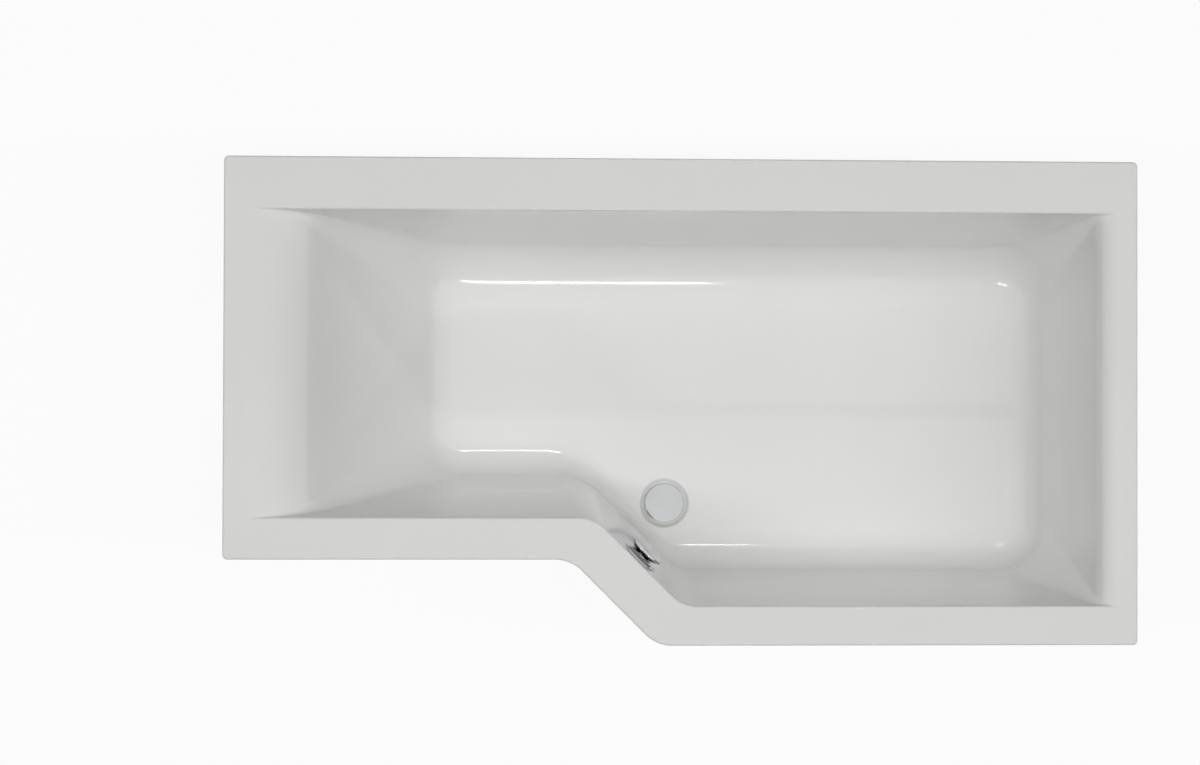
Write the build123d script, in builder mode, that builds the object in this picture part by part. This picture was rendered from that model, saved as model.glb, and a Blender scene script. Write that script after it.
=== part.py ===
from build123d import *
from math import atan2, cos, degrees, pi, radians, sin, sqrt, tan
import os

os.makedirs("parts", exist_ok=True)

# Driving dimensions of the bath, in millimetres. The floor is z = 0 and the wall is towards +Y.
bath_length = 1600
shower_width = 850
narrow_width = 700
rim_height = 550
bowl_depth = 400
acrylic = 5
lip_height = 35
rim_corner_radius = 9
rim_edge_radius = 4
step_corner_radius = 60
diagonal_middle_x = -122

# The six sides of the bowl: flat rim, roll off the rim, lean of the wall and cove into the floor.
wall_side = dict(rim=88, roll=4, lean=6.6, cove=117)
shower_side = dict(rim=27, roll=40, lean=4.9, cove=60)
front_side = dict(rim=65, roll=4, lean=7.2, cove=72)
diagonal_side = dict(rim=77, roll=4, lean=6.6, cove=48)
narrow_side = dict(rim=69, roll=4, lean=11.1, cove=72)
head_side = dict(rim=32, roll=150, lean=30.6, cove=70)
bowl_sides = [wall_side, shower_side, front_side, diagonal_side, narrow_side, head_side]
roll_start = 1.2
cut_above_rim = 3
section_count = 22

# Board under the floor, leg rails and levelling feet
board_thickness = 18
board_margin = 12
board_corner_radius = 25
board_hole_radius = 65
rail_width = 40
rail_height = 25
rail_steel = 2
rail_overhang = 25
rail_x = [-300, 170, 560]
rail_foot_y = [(-150, 290), (-325, 290), (-325, 290)]
stud_radius = 5
stud_bottom = 8
stud_top = 158
pad_radius = 25
nut_flats = 17
nut_height = 8
stud_clearance = 0.3
pad_sides = 16
pad_edge_height = 4
pad_dome_height = 10
pad_dome_taper = 61
pad_neck_flats = 19
pad_height = 24

# Timber under the rim and the brackets that hold the bath to the wall
batten_thickness = 15
batten_end_chamfer = 8
bracket_x = [-450, 450]
bracket_width = 40
bracket_steel = 2.5
bracket_hole_radius = 3.25
bracket_hole_z = [470, 495]
bracket_bottom = 456
bracket_bend = 4

# Waste and its pop-up plug
waste_x = -6
waste_y = -192
recess_radius = 47
recess_depth = 6
waste_hole_radius = 24.5
flange_radius = 35
flange_thickness = 2.5
throat_radius = 22
throat_bore_radius = 19
outlet_radius = 23.9
outlet_bore_radius = 20
outlet_bottom = 62
chamber_radius = 27
chamber_bore_radius = 24
chamber_bottom = 90
chamber_floor = 93
seat_thickness = 4
cable_port_length = 14
branch_z = 106
branch_end = 48
cap_radius = 37.4
cap_thickness = 3.2
stem_radius = 3
guide_gap = 0.08
stem_foot_z = 100
lever_pivot = 16
lever_z = 96
lever_pin_radius = 1.5
cable_port_turn = 45
cable_port_z = 106
seal_radius = 33
seal_thickness = 3.5
tail_bottom = 118
spider_z = 122
spider_height = 4
spider_bar = 2.5

# Overflow and its control, on the diagonal wall
overflow_x = -74
overflow_depth = 62
overflow_hole_radius = 26
rosette_radius = 35
rosette_front = 5
rosette_sleeve_radius = 25.5
rosette_spoke = 4
knob_radius = 35
knob_back = 9.5
knob_front = 20
spindle_radius = 3
spindle_boss_radius = 7
spindle_boss_height = 10
sleeve_back = -14
gasket_back = -8
overflow_body_radius = 29
overflow_body_back = -38
overflow_body_floor = 3
overflow_flange_radius = 34
overflow_flange_thickness = 4
drum_radius = 13
drum_width = 6
drum_back = -47
spigot_radius = 13
spigot_bore_radius = 10
spigot_bottom_drop = 52

# Ribbed hose from the overflow to the waste, and the control cable beside it
hose_crest_radius = 13
hose_root_radius = 11
hose_bore_radius = 9.5
hose_bore_sides = 16
hose_bend_radius = 46
hose_rib_count = 20
hose_nut_radius = 18
hose_nut_length = 18
cable_radius = 3

floor_z = rim_height - bowl_depth
half_length = bath_length / 2
half_width = shower_width / 2
narrow_front_y = half_width - narrow_width
diagonal_sum = diagonal_middle_x + (narrow_front_y - half_width) / 2
rim_under_z = rim_height - acrylic
board_top = floor_z - acrylic
board_bottom = board_top - board_thickness
recess_z = floor_z - recess_depth
seat_under_z = recess_z - acrylic


def plan_corners(wall, shower, front, diagonal, narrow, head):
    """Corners of the L outline after moving each side in by its own distance."""
    back_y = half_width - wall
    right_x = half_length - shower
    front_y = -half_width + front
    narrow_y = narrow_front_y + narrow
    left_x = -half_length + head
    diagonal_line = diagonal_sum + sqrt(2) * diagonal
    return [
        (left_x, back_y),
        (right_x, back_y),
        (right_x, front_y),
        (diagonal_line - front_y, front_y),
        (diagonal_line - narrow_y, narrow_y),
        (left_x, narrow_y),
    ]


def side_inset(side, depth, skin):
    """Plan distance from the outer edge to a bowl wall, skin thicker, at one depth under the rim."""
    lean = radians(side["lean"])
    roll_end = side["roll"] * (1 - sin(lean))
    cove_centre = bowl_depth - side["cove"]
    wall_top = side["roll"] * cos(lean)
    wall_foot = wall_top + (cove_centre + side["cove"] * sin(lean) - roll_end) * tan(lean)
    floor_edge = wall_foot + side["cove"] * cos(lean)
    cove = side["cove"] + skin
    roll = side["roll"] - skin
    if depth >= cove_centre + cove * sin(lean):
        reach = floor_edge - sqrt(max(cove**2 - (depth - cove_centre) ** 2, 0))
    elif roll > 0 and depth <= side["roll"] - roll * sin(lean):
        below = max(depth, skin + roll_start)
        curve = sqrt(roll**2 - (side["roll"] - below) ** 2)
        reach = curve - (below - depth) * (side["roll"] - below) / curve
    else:
        reach = wall_top + (depth - roll_end) * tan(lean) - skin / cos(lean)
    return side["rim"] + reach


def bowl_radii(depth, skin):
    """Corner radii of a section: tight at the rim, wide low down, tighter again at the floor."""
    low = (depth - skin) / bowl_depth
    square = 5 + 120 * low - 70 * low**8 + skin
    shallow = 60 + 40 * low - 50 * low**8 + skin
    inward = 60 + 50 * low + 60 * low**8 - skin
    return [square, square, square, shallow, inward, square]


def bowl(skin):
    """Solid that fills the bowl up to the rim, or the bowl with a skin of this thickness round it."""
    with BuildPart() as filling:
        for index in range(section_count + 1):
            share = (1 - cos(pi * index / section_count)) / 2
            depth = skin - cut_above_rim + (bowl_depth + cut_above_rim) * share
            corners = plan_corners(*[side_inset(side, depth, skin) for side in bowl_sides])
            with BuildSketch(Plane.XY.offset(rim_height - depth)):
                with BuildLine():
                    FilletPolyline(*corners, radius=bowl_radii(depth, skin), close=True)
                make_face()
        loft(ruled=True)
    return filling.part


def rim_outline(inset):
    """Sketch of the bath's outline, moved in."""
    with BuildSketch() as outline:
        with BuildLine():
            corner = rim_corner_radius - inset
            radii = [corner] * 3 + [step_corner_radius - inset, step_corner_radius + inset, corner]
            FilletPolyline(*plan_corners(*[inset] * 6), radius=radii, close=True)
        make_face()
    return outline.sketch


def turned(plane, profile):
    """Solid of revolution about a plane's normal from a closed profile of (radius, height) points."""
    axis_plane = Plane(origin=plane.origin, x_dir=plane.x_dir, z_dir=-plane.y_dir)
    with BuildPart() as solid:
        with BuildSketch(axis_plane):
            with BuildLine():
                Polyline(*profile, close=True)
            make_face()
        revolve(axis=Axis(plane.origin, plane.z_dir))
    return solid.part


# Places that several pieces share
diagonal_lean = radians(diagonal_side["lean"])
overflow_line = diagonal_sum + sqrt(2) * side_inset(diagonal_side, overflow_depth, 0)
overflow_plane = Plane(
    origin=(overflow_x, overflow_line - overflow_x, rim_height - overflow_depth),
    x_dir=(1, -1, 0),
    z_dir=(cos(diagonal_lean) / sqrt(2), cos(diagonal_lean) / sqrt(2), sin(diagonal_lean)),
)
waste_plane = Plane.XY.move(Location((waste_x, waste_y, 0)))
spigot_top = overflow_plane.from_local_coords((0, 0, -22))
spigot_bottom_z = spigot_top.Z - spigot_bottom_drop
branch_angle = degrees(atan2(spigot_top.Y - waste_y, spigot_top.X - waste_x))
branch_plane = Plane(
    origin=(waste_x, waste_y, branch_z),
    x_dir=(0, 0, 1),
    z_dir=(cos(radians(branch_angle)), sin(radians(branch_angle)), 0),
)
port_angle = radians(branch_angle + cable_port_turn)
cable_port = Plane(
    origin=(waste_x, waste_y, cable_port_z), x_dir=(0, 0, 1), z_dir=(cos(port_angle), sin(port_angle), 0)
)
lever_plane = Plane(
    origin=(waste_x, waste_y, lever_z),
    x_dir=cable_port.z_dir,
    z_dir=cable_port.z_dir.cross(Vector(0, 0, 1)),
)
cable_start = Plane(
    origin=overflow_plane.from_local_coords((drum_radius - 1, 22, drum_back + drum_width / 2)),
    x_dir=overflow_plane.x_dir,
    z_dir=overflow_plane.y_dir,
)
foot_places = [(x, y) for x, pair in zip(rail_x, rail_foot_y) for y in pair]

# The acrylic moulding: a flat rim with a turned-down lip, the bowl hung from it, the waste's
# recess pressed into the floor beside the diagonal wall, and the two holes drilled for the fittings.
bowl_space = bowl(0)
bowl_outside = bowl(acrylic)
with BuildPart() as bath_shell:
    with BuildSketch(Plane.XY.offset(rim_height - lip_height)):
        add(rim_outline(0))
    extrude(amount=lip_height)
    fillet(bath_shell.faces().sort_by(Axis.Z)[-1].outer_wire().edges(), rim_edge_radius)
    with BuildSketch(Plane.XY.offset(rim_height - lip_height)):
        add(rim_outline(acrylic))
    extrude(amount=lip_height - acrylic, mode=Mode.SUBTRACT)
    add(bowl_outside)
    bulge_profile = [
        (0, seat_under_z),
        (recess_radius - 3, seat_under_z),
        (recess_radius + 6, board_top + 2),
        (0, board_top + 2),
    ]
    add(turned(waste_plane, bulge_profile))
    add(bowl_space, mode=Mode.SUBTRACT)
    rise = 20
    recess_profile = [
        (0, recess_z),
        (recess_radius - recess_depth, recess_z),
        (recess_radius, floor_z),
        (recess_radius + rise, floor_z + rise),
        (0, floor_z + rise),
    ]
    add(turned(waste_plane, recess_profile), mode=Mode.SUBTRACT)
    with BuildSketch(waste_plane.offset(seat_under_z - 1)):
        Circle(waste_hole_radius)
    extrude(amount=recess_depth + acrylic + 2, mode=Mode.SUBTRACT)
    with BuildSketch(overflow_plane.offset(-2 * acrylic)):
        Circle(overflow_hole_radius)
    extrude(amount=3 * acrylic, mode=Mode.SUBTRACT)

# Chipboard bonded under the flat of the floor, cut away round the waste
with BuildPart() as baseboard:
    board_corners = plan_corners(
        *[side_inset(side, bowl_depth + acrylic, acrylic) + board_margin for side in bowl_sides]
    )
    with BuildSketch(Plane.XY.offset(board_bottom)):
        with BuildLine():
            FilletPolyline(*board_corners, radius=board_corner_radius, close=True)
        make_face()
        with Locations((waste_x, waste_y)):
            Circle(board_hole_radius, mode=Mode.SUBTRACT)
    extrude(amount=board_thickness)


def rim_batten(left_x, right_x, front_y, back_y):
    """Planed timber under the rim, with its ends cut back."""
    with BuildPart() as batten:
        with BuildSketch(Plane.XY.offset(rim_under_z - batten_thickness)):
            with BuildLine():
                corners = [(left_x, front_y), (right_x, front_y), (right_x, back_y), (left_x, back_y)]
                Polyline(*corners, close=True)
            make_face()
        extrude(amount=batten_thickness)
        chamfer(batten.edges().filter_by(Axis.Y).group_by(Axis.Z)[0], batten_end_chamfer)
    return batten.part


rim_batten_wall = rim_batten(-700, 700, 348, 410)
rim_batten_narrow_front = rim_batten(-700, -250, -258, -220)
rim_batten_wide_front = rim_batten(20, 700, -410, -372)

def leg_rail(x, foot_y):
    """Pressed steel channel, open side down, across the bath under the board."""
    near = foot_y[0] - rail_overhang
    length = foot_y[1] - foot_y[0] + 2 * rail_overhang
    with BuildPart() as rail:
        with BuildSketch(Plane(origin=(x, near, board_bottom), x_dir=(1, 0, 0), z_dir=(0, 1, 0))):
            with Locations((0, rail_height / 2)):
                Rectangle(rail_width, rail_height)
            with Locations((0, rail_height / 2 + rail_steel)):
                Rectangle(rail_width - 2 * rail_steel, rail_height, mode=Mode.SUBTRACT)
        extrude(amount=length)
        fillet(rail.edges().filter_by(Axis.Y).group_by(Axis.Z)[-1], rail_steel)
        with BuildSketch(Plane.XY.offset(board_bottom - rail_steel)):
            with Locations(*[(x, y) for y in foot_y]):
                Circle(stud_radius + stud_clearance)
        extrude(amount=rail_steel, mode=Mode.SUBTRACT)
    return rail.part


leg_rails = [leg_rail(x, feet) for x, feet in zip(rail_x, rail_foot_y)]

# Levelling feet: a threaded stud in a hexagonal-necked pad, and a lock nut on each side of the rail
studs = []
pads = []
for x, y in foot_places:
    foot_plane = Plane.XY.move(Location((x, y, 0)))
    with BuildPart() as stud:
        with BuildSketch(foot_plane.offset(stud_bottom)):
            Circle(stud_radius)
        extrude(amount=stud_top - stud_bottom)
        chamfer(stud.edges().group_by(Axis.Z)[-1], 1)
    studs.append(stud.part)
    with BuildPart() as pad:
        with BuildSketch(foot_plane):
            RegularPolygon(pad_radius, pad_sides)
        extrude(amount=pad_edge_height)
        with BuildSketch(foot_plane.offset(pad_edge_height)):
            RegularPolygon(pad_radius, pad_sides)
        extrude(amount=pad_dome_height - pad_edge_height, taper=pad_dome_taper)
        with BuildSketch(foot_plane.offset(pad_dome_height)):
            RegularPolygon(pad_neck_flats / 2, 6, major_radius=False)
        extrude(amount=pad_height - pad_dome_height)
        with BuildSketch(foot_plane.offset(stud_bottom)):
            RegularPolygon(stud_radius, 6, major_radius=False)
        extrude(amount=pad_height, mode=Mode.SUBTRACT)
    pads.append(pad.part)

with BuildPart() as leg_lock_nuts:
    for nut_z in [board_bottom - rail_steel - nut_height, board_bottom]:
        with BuildSketch(Plane.XY.offset(nut_z)):
            with Locations(*foot_places):
                RegularPolygon(nut_flats / 2, 6, major_radius=False)
                Circle(stud_radius + stud_clearance, mode=Mode.SUBTRACT)
        extrude(amount=nut_height)


def wall_bracket(x):
    """Joggled steel strip: screwed under the wall batten, out below the lip and down the wall."""
    wall_y = half_width - bracket_steel / 2
    top_z = rim_under_z - batten_thickness - bracket_steel / 2
    step_z = rim_height - lip_height - 8
    with BuildPart() as bracket:
        with BuildSketch(Plane(origin=(x - bracket_width / 2, 0, 0), x_dir=(0, 1, 0), z_dir=(1, 0, 0))):
            with BuildLine():
                corners = [(354, top_z), (408, top_z), (408, step_z), (wall_y, step_z)]
                FilletPolyline(*corners, (wall_y, bracket_bottom), radius=bracket_bend)
            trace(line_width=bracket_steel)
        extrude(amount=bracket_width)
        with BuildSketch(Plane(origin=(x, half_width - 5, 0), x_dir=(-1, 0, 0), z_dir=(0, 1, 0))):
            with Locations(*[(0, z) for z in bracket_hole_z]):
                Circle(bracket_hole_radius)
        extrude(amount=6, mode=Mode.SUBTRACT)
    return bracket.part


wall_brackets = [wall_bracket(x) for x in bracket_x]

# Waste: the chromed flange and its tail come down through the floor, and the plastic body below
# is drawn up to it, with a rubber seal on each side of the acrylic.
flange_z = recess_z + 1
flange_top = flange_z + flange_thickness
with BuildPart() as waste_flange:
    flange_profile = [
        (throat_bore_radius, tail_bottom),
        (throat_radius, tail_bottom),
        (throat_radius, flange_z),
        (flange_radius, flange_z),
        (flange_radius, flange_z + 1.2),
        (flange_radius - 3, flange_top),
        (throat_bore_radius, flange_top),
    ]
    add(turned(waste_plane, flange_profile))
    for turn in [0, 90]:
        spider_plane = Plane(origin=(waste_x, waste_y, spider_z), x_dir=(1, 0, 0)).rotated((0, 0, turn))
        with BuildSketch(spider_plane):
            Rectangle(2 * throat_bore_radius + 2, spider_bar)
        extrude(amount=spider_height)
    with BuildSketch(waste_plane.offset(spider_z)):
        Circle(2 * stem_radius)
    extrude(amount=spider_height)
    with BuildSketch(waste_plane.offset(spider_z)):
        Circle(stem_radius + guide_gap)
    extrude(amount=spider_height, mode=Mode.SUBTRACT)



def ring(plane, inner, outer, height):
    """Flat sealing ring standing on a plane."""
    with BuildPart() as seal:
        with BuildSketch(plane):
            Circle(outer)
            Circle(inner, mode=Mode.SUBTRACT)
        extrude(amount=height)
    return seal.part


flange_seal = ring(waste_plane.offset(recess_z), throat_radius + 0.5, seal_radius, flange_z - recess_z)
body_top = seat_under_z - seal_thickness
waste_seal = ring(waste_plane.offset(body_top), throat_radius + 0.5, seal_radius, seal_thickness)

with BuildPart() as waste_body:
    outside = [
        (0, outlet_bottom),
        (outlet_radius, outlet_bottom),
        (outlet_radius, chamber_bottom),
        (chamber_radius, chamber_bottom),
        (chamber_radius, body_top - seat_thickness),
        (seal_radius + 1, body_top - seat_thickness),
        (seal_radius + 1, body_top),
        (0, body_top),
    ]
    add(turned(waste_plane, outside))
    with BuildSketch(branch_plane):
        Circle(spigot_radius)
    extrude(amount=branch_end)
    with BuildSketch(cable_port.offset(chamber_bore_radius + 1)):
        Circle(2 * cable_radius)
    extrude(amount=cable_port_length)
    inside = [
        (0, outlet_bottom),
        (outlet_bore_radius, outlet_bottom),
        (outlet_bore_radius, chamber_floor),
        (chamber_bore_radius, chamber_floor),
        (chamber_bore_radius, tail_bottom),
        (throat_radius, tail_bottom),
        (throat_radius, body_top),
        (0, body_top),
    ]
    add(turned(waste_plane, inside), mode=Mode.SUBTRACT)
    with BuildSketch(branch_plane):
        Circle(spigot_bore_radius)
    extrude(amount=branch_end, mode=Mode.SUBTRACT)
    with BuildSketch(cable_port.offset(chamber_radius - cable_port_length)):
        Circle(cable_radius)
    extrude(amount=2 * cable_port_length, mode=Mode.SUBTRACT)
    with BuildSketch(lever_plane):
        with Locations((lever_pivot, 0)):
            Circle(lever_pin_radius)
    extrude(amount=chamber_radius, both=True, mode=Mode.SUBTRACT)

# Pop-up plug: the chromed cap, its rubber seal and the stem that runs down through the spider
cap_z = flange_top + 0.5
cap_top = cap_z + cap_thickness
hub_bottom = cap_z - 5.5
with BuildPart() as plug_cap:
    cap_profile = [
        (0, hub_bottom),
        (7, hub_bottom),
        (7, cap_z),
        (cap_radius, cap_z),
        (cap_radius, cap_top - 1),
        (cap_radius - 1, cap_top),
        (0, cap_top),
    ]
    add(turned(waste_plane, cap_profile))
    with BuildSketch(waste_plane.offset(hub_bottom)):
        Circle(stem_radius)
    extrude(amount=4, mode=Mode.SUBTRACT)

plug_seal = turned(
    waste_plane,
    [(7, cap_z - 5), (18.2, cap_z - 5), (18.2, cap_z - 2), (7, cap_z - 2)],
)

with BuildPart() as plug_stem:
    with BuildSketch(waste_plane.offset(stem_foot_z)):
        Circle(stem_radius)
    extrude(amount=hub_bottom + 4 - stem_foot_z)

# Rocker under the stem: the cable draws its short tail in, and its long arm lifts the plug
with BuildPart() as lift_lever:
    with BuildSketch(lever_plane.offset(-3)):
        with BuildLine():
            Polyline((16, -2), (16, 2.5), (4, 3.5), (-3, 3.5), (-3, 1.8), (3, 0.8), close=True)
        make_face()
        with BuildLine():
            Polyline((14.2, 0), (17.8, 0), (17.6, -6), (15.4, -6), close=True)
        make_face()
        with Locations((lever_pivot, 0)):
            Circle(3.4)
            Circle(lever_pin_radius + 0.06, mode=Mode.SUBTRACT)
    extrude(amount=6)

with BuildPart() as lever_pin:
    with BuildSketch(lever_plane):
        with Locations((lever_pivot, 0)):
            Circle(lever_pin_radius)
    extrude(amount=20.5, both=True)

# Overflow: rosette and control knob in front of the diagonal wall, plastic body and gasket behind it
with BuildPart() as overflow_rosette:
    rosette_profile = [
        (rosette_sleeve_radius - 3, sleeve_back),
        (rosette_sleeve_radius, sleeve_back),
        (rosette_sleeve_radius, 0.1),
        (rosette_radius, 0.1),
        (rosette_radius, 1.5),
        (rosette_radius - 5, rosette_front),
        (rosette_sleeve_radius - 3, rosette_front),
    ]
    add(turned(overflow_plane, rosette_profile))
    with BuildSketch(overflow_plane):
        Rectangle(2 * rosette_sleeve_radius - 4, 5)
        Rectangle(5, 2 * rosette_sleeve_radius - 4)
        Circle(8)
        Circle(spindle_radius + guide_gap, mode=Mode.SUBTRACT)
    extrude(amount=rosette_spoke)

overflow_gasket = ring(
    overflow_plane.offset(gasket_back), overflow_hole_radius + 0.5, seal_radius, -acrylic - gasket_back
)

with BuildPart() as overflow_body:
    with BuildSketch(overflow_plane.offset(overflow_body_back)):
        Circle(overflow_body_radius)
    extrude(amount=gasket_back - overflow_body_back)
    with BuildSketch(overflow_plane.offset(gasket_back - overflow_flange_thickness)):
        Circle(overflow_flange_radius)
    extrude(amount=overflow_flange_thickness)
    with BuildSketch(Plane(origin=spigot_top, x_dir=(1, 0, 0), z_dir=(0, 0, -1))):
        Circle(spigot_radius)
    extrude(amount=spigot_bottom_drop)
    with BuildSketch(overflow_plane.offset(overflow_body_back + overflow_body_floor)):
        Circle(rosette_sleeve_radius)
    extrude(amount=-overflow_body_back, mode=Mode.SUBTRACT)
    with BuildSketch(Plane(origin=spigot_top, x_dir=(1, 0, 0), z_dir=(0, 0, -1))):
        Circle(spigot_bore_radius)
    extrude(amount=spigot_bottom_drop, mode=Mode.SUBTRACT)
    with BuildSketch(overflow_plane.offset(overflow_body_back)):
        Circle(spindle_boss_radius)
    extrude(amount=spindle_boss_height)
    with BuildSketch(overflow_plane.offset(overflow_body_back - 10)):
        with Locations((drum_radius - 1, 27)):
            Rectangle(4 * cable_radius, 14)
    extrude(amount=12)
    with BuildSketch(overflow_plane.offset(overflow_body_back)):
        Circle(spindle_radius + guide_gap)
    extrude(amount=spindle_boss_height, mode=Mode.SUBTRACT)
    with BuildSketch(cable_start):
        Circle(cable_radius)
    extrude(amount=20, mode=Mode.SUBTRACT)

with BuildPart() as overflow_knob:
    knob_profile = [
        (0, knob_back),
        (25, knob_back),
        (knob_radius, knob_front - 4),
        (knob_radius, knob_front),
        (knob_radius - 4, knob_front),
        (knob_radius - 7, knob_front - 1),
        (0, knob_front - 1),
    ]
    add(turned(overflow_plane, knob_profile))
    with BuildSketch(overflow_plane.offset(knob_back)):
        Circle(spindle_radius)
    extrude(amount=5, mode=Mode.SUBTRACT)

with BuildPart() as knob_spindle:
    with BuildSketch(overflow_plane.offset(drum_back)):
        Circle(spindle_radius)
    extrude(amount=knob_back + 5 - drum_back)

drum_front = drum_back + drum_width
with BuildPart() as cable_drum:
    drum_profile = [
        (spindle_radius, drum_back),
        (drum_radius, drum_back),
        (drum_radius - 2, drum_back + drum_width / 2),
        (drum_radius, drum_front),
        (spindle_radius, drum_front),
    ]
    add(turned(overflow_plane, drum_profile))

# Ribbed hose: straight down from the overflow, one bend, and into the side of the waste body
hose_drop = spigot_bottom_z - branch_z - hose_bend_radius
bend_length = hose_bend_radius * pi / 2
waste_way = -branch_plane.z_dir
plan_distance = sqrt((spigot_top.X - waste_x) ** 2 + (spigot_top.Y - waste_y) ** 2)
hose_run = plan_distance - branch_end - hose_bend_radius
hose_length = hose_drop + bend_length + hose_run
hose_cuff = 2 * hose_crest_radius
hose_top = Vector(spigot_top.X, spigot_top.Y, spigot_bottom_z)
bend_centre = hose_top + Vector(0, 0, -hose_drop) + waste_way * hose_bend_radius
hose_side = waste_way.cross(Vector(0, 0, 1))


def hose_plane(distance):
    """Plane square to the hose at a distance along it, its X axis always level."""
    turn = min(max((distance - hose_drop) / hose_bend_radius, 0), pi / 2)
    before = min(distance - hose_drop, 0)
    after = max(distance - hose_drop - bend_length, 0)
    along = waste_way * sin(turn) + Vector(0, 0, -cos(turn))
    outward = waste_way * -cos(turn) + Vector(0, 0, -sin(turn))
    origin = bend_centre + outward * hose_bend_radius + along * (before + after)
    return Plane(origin=origin, x_dir=hose_side, z_dir=along)


rib_pitch = (hose_length - 2 * hose_cuff) / hose_rib_count
hose_circles = [(0, hose_crest_radius), (hose_cuff - 2, hose_crest_radius)]
for rib in range(hose_rib_count):
    rib_start = hose_cuff + rib * rib_pitch
    hose_circles.append((rib_start + 0.12 * rib_pitch, hose_root_radius))
    hose_circles.append((rib_start + 0.38 * rib_pitch, hose_crest_radius))
    hose_circles.append((rib_start + 0.62 * rib_pitch, hose_crest_radius))
    hose_circles.append((rib_start + 0.88 * rib_pitch, hose_root_radius))
hose_circles.append((hose_length - hose_cuff + 2, hose_crest_radius))
hose_circles.append((hose_length, hose_crest_radius))
with BuildPart() as overflow_hose:
    for distance, radius in hose_circles:
        with BuildSketch(hose_plane(distance)):
            Circle(radius)
    loft(ruled=True)
    with BuildLine() as hose_line:
        hose_bottom = hose_top + Vector(0, 0, -hose_drop)
        hose_turned = hose_plane(hose_drop + bend_length).origin
        Line(hose_top, hose_bottom)
        ThreePointArc(hose_bottom, hose_plane(hose_drop + bend_length / 2).origin, hose_turned)
        Line(hose_turned, hose_plane(hose_length).origin)
    with BuildSketch(hose_plane(0)):
        RegularPolygon(hose_bore_radius, hose_bore_sides)
    sweep(path=hose_line.wire(), mode=Mode.SUBTRACT)


def hose_nut(plane):
    """Eight-sided union nut over the joint between a spigot and the hose."""
    with BuildPart() as nut:
        with BuildSketch(plane.offset(-hose_nut_length / 2)):
            RegularPolygon(hose_nut_radius, 8)
            Circle(hose_crest_radius, mode=Mode.SUBTRACT)
        extrude(amount=hose_nut_length)
    return nut.part


hose_nut_upper = hose_nut(hose_plane(0))
hose_nut_lower = hose_nut(hose_plane(hose_length))

# Control cable from the drum behind the overflow to the port in the waste body
cable_way_in = -cable_port.z_dir
cable_end = cable_port.origin + cable_port.z_dir * (chamber_bore_radius + 1)
cable_route = [
    cable_start.origin,
    cable_start.origin + cable_start.z_dir * 16,
    Vector(-95, -315, 405),
    Vector(-89, -312, 260),
    Vector(-74, -307, 172),
    Vector(-48, -298, 124),
    cable_end - cable_way_in * 62,
    cable_end,
]
cable_radii = []
for before, corner, after in zip(cable_route, cable_route[1:], cable_route[2:]):
    turn = radians((corner - before).get_angle(after - corner))
    shorter = min((corner - before).length, (after - corner).length)
    cable_radii.append(0.45 * shorter / tan(turn / 2))
with BuildPart() as control_cable:
    with BuildLine() as cable_line:
        FilletPolyline(*cable_route, radius=cable_radii)
    with BuildSketch(Plane(origin=cable_route[0], z_dir=cable_route[1] - cable_route[0])):
        Circle(cable_radius)
    sweep(path=cable_line.wire())
print("cable length", round(cable_line.wire().length))
print("cable bend radii", [round(radius) for radius in cable_radii])

pieces = {
    "bath_shell": bath_shell.part,
    "baseboard": baseboard.part,
    "rim_batten_wall": rim_batten_wall,
    "rim_batten_narrow_front": rim_batten_narrow_front,
    "rim_batten_wide_front": rim_batten_wide_front,
    "leg_rail_head": leg_rails[0],
    "leg_rail_centre": leg_rails[1],
    "leg_rail_shower": leg_rails[2],
    "leg_lock_nuts": leg_lock_nuts.part,
    "wall_bracket_head": wall_brackets[0],
    "wall_bracket_shower": wall_brackets[1],
    "waste_flange": waste_flange.part,
    "flange_seal": flange_seal,
    "waste_seal": waste_seal,
    "waste_body": waste_body.part,
    "plug_cap": plug_cap.part,
    "plug_seal": plug_seal,
    "plug_stem": plug_stem.part,
    "lift_lever": lift_lever.part,
    "lever_pin": lever_pin.part,
    "overflow_rosette": overflow_rosette.part,
    "overflow_gasket": overflow_gasket,
    "overflow_body": overflow_body.part,
    "overflow_knob": overflow_knob.part,
    "knob_spindle": knob_spindle.part,
    "cable_drum": cable_drum.part,
    "overflow_hose": overflow_hose.part,
    "hose_nut_upper": hose_nut_upper,
    "hose_nut_lower": hose_nut_lower,
    "control_cable": control_cable.part,
}
for number, (stud_part, pad_part) in enumerate(zip(studs, pads), start=1):
    pieces[f"foot_stud_{number}"] = stud_part
    pieces[f"foot_pad_{number}"] = pad_part
for name, piece in pieces.items():
    piece.label = name
    export_step(piece, f"parts/{name}.step")
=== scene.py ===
from math import cos, pi, radians, sin, sqrt, tan

import bmesh
import bpy
from mathutils import Euler, Matrix, Vector


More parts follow.
